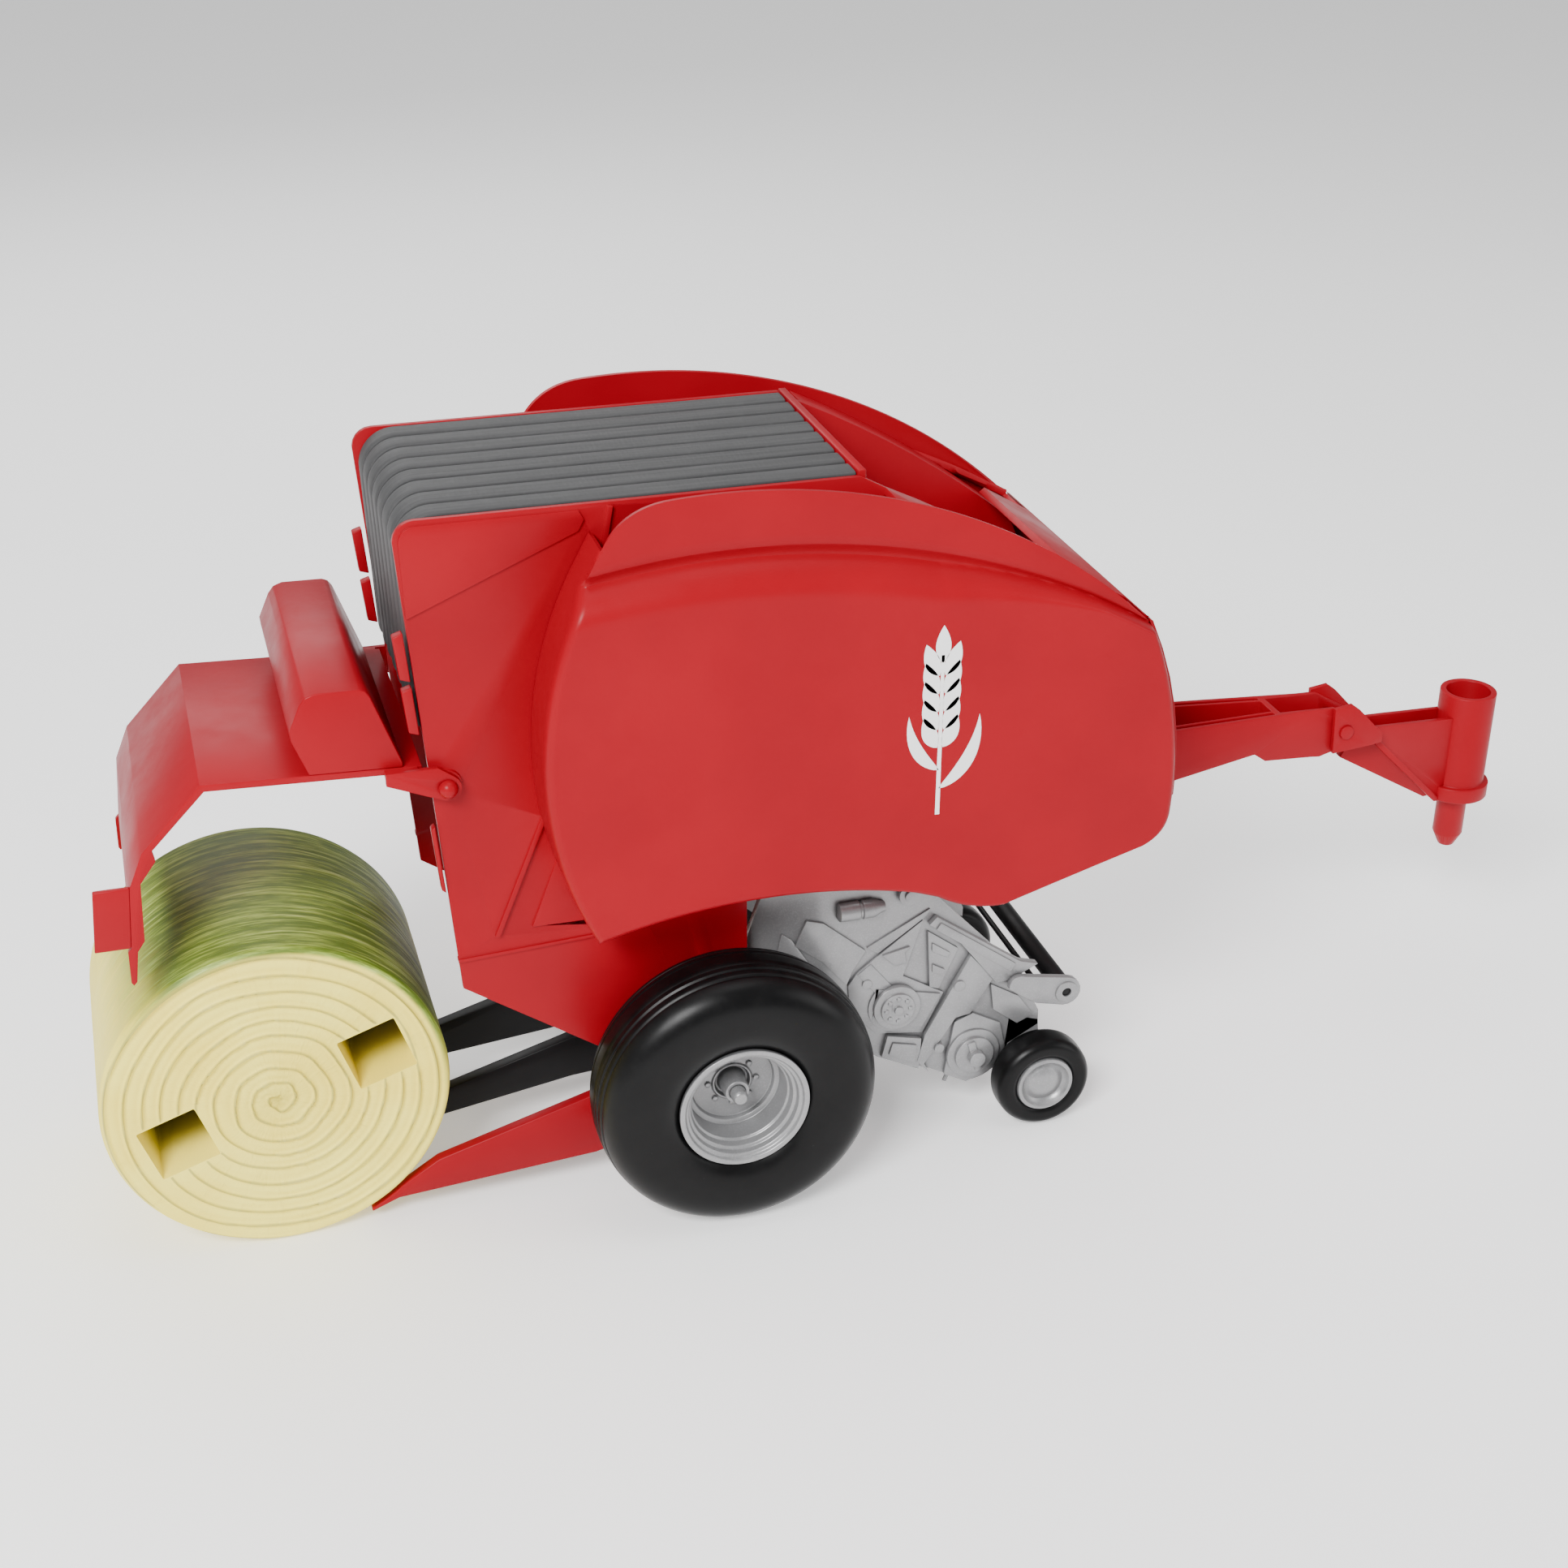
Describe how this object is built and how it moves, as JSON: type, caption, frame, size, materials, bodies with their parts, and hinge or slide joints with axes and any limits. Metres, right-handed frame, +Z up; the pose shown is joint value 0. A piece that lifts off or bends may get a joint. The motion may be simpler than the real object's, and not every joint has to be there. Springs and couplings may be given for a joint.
{
  "type": "toy round baler",
  "caption": "Toy round baler with open tailgate, belts, pickup reel, gauge wheels, drawbar with hitch pin, and a round bale with fork holes.",
  "frame": {"origin": "on the ground under the middle of the overall length and width, bale and hitch included", "axes": "+X is the direction of travel, towards the hitch; +Z is up; the right-hand side is -Y"},
  "size_m": [0.3918, 0.121, 0.1918],
  "materials": {
    "red_plastic": "satin moulded plastic",
    "silver_plastic": "silver-coloured moulded plastic",
    "black_plastic": "black moulded plastic",
    "tyre_black": "satin black soft plastic",
    "belt_grey": "dull grey",
    "straw": "straw-coloured moulded plastic"
  },
  "bodies": {
    "chassis": {"chamber_wall_right": "red_plastic", "chamber_wall_left": "red_plastic", "side_cover_right": "red_plastic", "side_cover_left": "red_plastic", "front_hood": "red_plastic", "belt_crossbar": "red_plastic", "belt_bed": "black_plastic", "belts": "belt_grey", "belt_roller": "black_plastic", "chamber_front": "red_plastic", "rear_clips_right": "red_plastic", "rear_clips_left": "red_plastic", "gate_hinge_pins": "red_plastic", "pickup_pivot_bar": "silver_plastic", "axle": "silver_plastic", "axle_housing": "red_plastic", "ramp_carrier": "black_plastic", "ramp_arm_right": "red_plastic", "ramp_arm_centre": "black_plastic", "ramp_arm_left": "black_plastic", "drawbar_bracket": "red_plastic", "drawbar_beam": "red_plastic", "drawbar_pin": "red_plastic"},
    "wheel_right": {"tyre_right": "tyre_black", "rim_right": "silver_plastic", "wheel_bolts_right": "silver_plastic"},
    "wheel_left": {"tyre_left": "tyre_black", "rim_left": "silver_plastic", "wheel_bolts_left": "silver_plastic"},
    "tailgate": {"gate_panel": "red_plastic", "net_box": "red_plastic", "gate_handle": "red_plastic"},
    "bale": {"bale_half_right": "straw", "bale_half_left": "straw"},
    "pickup": {"pickup_side_right": "silver_plastic", "pickup_side_left": "silver_plastic", "pickup_cross_tube": "silver_plastic", "pickup_bands": "silver_plastic", "pickup_cap_right": "silver_plastic", "pickup_cap_left": "silver_plastic", "pickup_drive_right": "silver_plastic", "pickup_drive_left": "silver_plastic"},
    "reel": {"reel_shaft": "silver_plastic", "reel_tines": "silver_plastic"},
    "gauge_wheel_right": {"gauge_tyre_right": "tyre_black", "gauge_hub_right": "silver_plastic"},
    "gauge_wheel_left": {"gauge_tyre_left": "tyre_black", "gauge_hub_left": "silver_plastic"},
    "wind_guard": {"guard_arm_right": "silver_plastic", "guard_arm_left": "silver_plastic", "guard_rod": "black_plastic"},
    "guard_roller_body": {"guard_roller": "black_plastic"},
    "hitch_head": {"hitch_frame": "red_plastic", "hitch_tube": "red_plastic"}
  },
  "joints": [
    {"name": "wheel_right_spin", "type": "hinge", "parent": "chassis", "child": "wheel_right", "pos_m": [-0.0433, 0, 0.036], "axis": [0, 1, 0], "continuous": true},
    {"name": "wheel_left_spin", "type": "hinge", "parent": "chassis", "child": "wheel_left", "pos_m": [-0.0433, 0, 0.036], "axis": [0, 1, 0], "continuous": true},
    {"name": "bale_roll_out", "type": "slide", "parent": "chassis", "child": "bale", "axis": [-1, 0, 0], "range_m": [0, 0.52]},
    {"name": "tailgate_close", "type": "hinge", "parent": "chassis", "child": "tailgate", "pos_m": [-0.1079, 0, 0.1232], "axis": [0, -1, 0], "range_deg": [0, 80]},
    {"name": "pickup_lift", "type": "hinge", "parent": "chassis", "child": "pickup", "pos_m": [-0.0133, 0, 0.096], "axis": [0, -1, 0], "range_deg": [0, 10]},
    {"name": "reel_spin", "type": "hinge", "parent": "pickup", "child": "reel", "pos_m": [0.0282, 0, 0.0206], "axis": [0, 1, 0], "continuous": true},
    {"name": "gauge_wheel_right_spin", "type": "hinge", "parent": "pickup", "child": "gauge_wheel_right", "pos_m": [0.0457, 0, 0.0132], "axis": [0, 1, 0], "continuous": true},
    {"name": "gauge_wheel_left_spin", "type": "hinge", "parent": "pickup", "child": "gauge_wheel_left", "pos_m": [0.0457, 0, 0.0132], "axis": [0, 1, 0], "continuous": true},
    {"name": "wind_guard_lift", "type": "hinge", "parent": "pickup", "child": "wind_guard", "pos_m": [0.0397, 0, 0.041], "axis": [0, -1, 0], "range_deg": [0, 25]},
    {"name": "guard_roller_spin", "type": "hinge", "parent": "wind_guard", "child": "guard_roller_body", "pos_m": [0.0531, 0, 0.037], "axis": [0, 1, 0], "continuous": true},
    {"name": "hitch_tilt", "type": "hinge", "parent": "chassis", "child": "hitch_head", "pos_m": [0.1442, 0, 0.0895], "axis": [0, -1, 0], "range_deg": [-12, 12]}
  ],
  "couplings": [
    {"joint": "tailgate_close", "follows": "bale_roll_out", "rad_per_m": 2.685}
  ]
}
